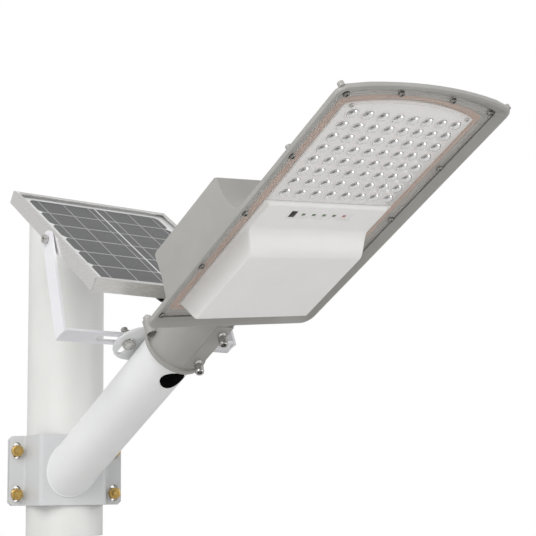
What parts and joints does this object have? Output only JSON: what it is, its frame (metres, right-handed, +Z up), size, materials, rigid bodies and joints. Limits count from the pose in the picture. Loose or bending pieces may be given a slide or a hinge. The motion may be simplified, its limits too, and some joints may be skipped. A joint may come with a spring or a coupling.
{
  "type": "solar street lamp",
  "caption": "Street lamp head with an LED lens field on a rising arm, clamped to a pole section, with a tilting solar panel in a yoke on the arm.",
  "frame": {"origin": "centre of the pole section's lower end", "axes": "+Z up along the pole, the arm and the head run towards -Y and rise, +X across the arm"},
  "size_m": [0.2306, 0.7354, 0.4075],
  "materials": {
    "pole_paint": "satin white",
    "clamp_paint": "satin white powder coat",
    "arm_paint": "satin white powder coat",
    "yoke_paint": "satin white powder coat",
    "zinc_hardware": "yellow zinc plating",
    "steel_hardware": "machined",
    "black_plastic": "matt",
    "casting_paint": "fine-textured grey paint on a die casting",
    "panel_frame": "anodised",
    "panel_glass": "clear tempered",
    "solar_cells": "laminated dark cells with silver lines",
    "clear_cover": "clear, smooth",
    "gasket_rubber": "soft silicone",
    "lens_plastic": "clear moulded lenses",
    "frosted_cover": "frosted, milky",
    "led_board": "white solder mask",
    "circuit_board": "green solder mask",
    "battery_wrap": "shrink wrap"
  },
  "bodies": {
    "pole": {"pole_tube": "pole_paint", "pole_cap": "black_plastic"},
    "arm": {"clamp_front_plate": "clamp_paint", "clamp_rear_plate": "clamp_paint", "clamp_bolt_1": "zinc_hardware", "clamp_bolt_2": "zinc_hardware", "clamp_bolt_3": "zinc_hardware", "clamp_bolt_4": "zinc_hardware", "clamp_nut_1": "zinc_hardware", "clamp_nut_2": "zinc_hardware", "clamp_nut_3": "zinc_hardware", "clamp_nut_4": "zinc_hardware", "arm_tube": "arm_paint", "cable_grommet": "black_plastic", "arm_top_plate": "arm_paint", "yoke_bolt_left": "steel_hardware", "yoke_bolt_right": "steel_hardware", "yoke_nut_left": "steel_hardware", "yoke_nut_right": "steel_hardware"},
    "head": {"lamp_housing": "casting_paint", "neck_bolt_1": "steel_hardware", "neck_bolt_2": "steel_hardware", "neck_bolt_3": "steel_hardware", "optic_cover": "clear_cover", "gasket": "gasket_rubber", "lens_plate": "lens_plastic", "led_board": "led_board", "battery_cover": "frosted_cover", "indicator_window": "clear_cover", "status_board": "circuit_board", "controller_board": "circuit_board", "battery_pack": "battery_wrap", "cover_screw_1": "steel_hardware", "cover_screw_2": "steel_hardware", "cover_screw_3": "steel_hardware", "cover_screw_4": "steel_hardware", "cover_screw_5": "steel_hardware", "cover_screw_6": "steel_hardware", "cover_screw_7": "steel_hardware", "cover_screw_8": "steel_hardware", "cover_screw_9": "steel_hardware", "cover_screw_10": "steel_hardware", "cover_screw_11": "steel_hardware", "cover_screw_12": "steel_hardware"},
    "yoke": {"yoke": "yoke_paint"},
    "panel": {"panel_rail_lower": "panel_frame", "panel_rail_upper": "panel_frame", "panel_rail_left": "panel_frame", "panel_rail_right": "panel_frame", "panel_glass": "panel_glass", "panel_laminate": "solar_cells", "junction_box": "black_plastic", "junction_gland": "black_plastic", "pivot_bolt_left": "steel_hardware", "pivot_bolt_right": "steel_hardware", "pivot_nut_left": "steel_hardware", "pivot_nut_right": "steel_hardware"}
  },
  "joints": [
    {"name": "arm_swing", "type": "hinge", "parent": "pole", "child": "arm", "pos_m": [0, 0, 0.0795], "axis": [0, 0, 1], "range_deg": [-90, 90]},
    {"name": "head_turn", "type": "hinge", "parent": "arm", "child": "head", "pos_m": [-0.01553, -0.30935, 0.22986], "axis": [0, -0.8699, 0.4932], "range_deg": [-20, 20]},
    {"name": "yoke_slide", "type": "slide", "parent": "arm", "child": "yoke", "axis": [1, 0, 0], "range_m": [-0.03, 0.03]},
    {"name": "panel_tilt", "type": "hinge", "parent": "yoke", "child": "panel", "pos_m": [-0.01553, -0.17802, 0.32829], "axis": [1, 0, 0], "range_deg": [-34, 12]}
  ]
}
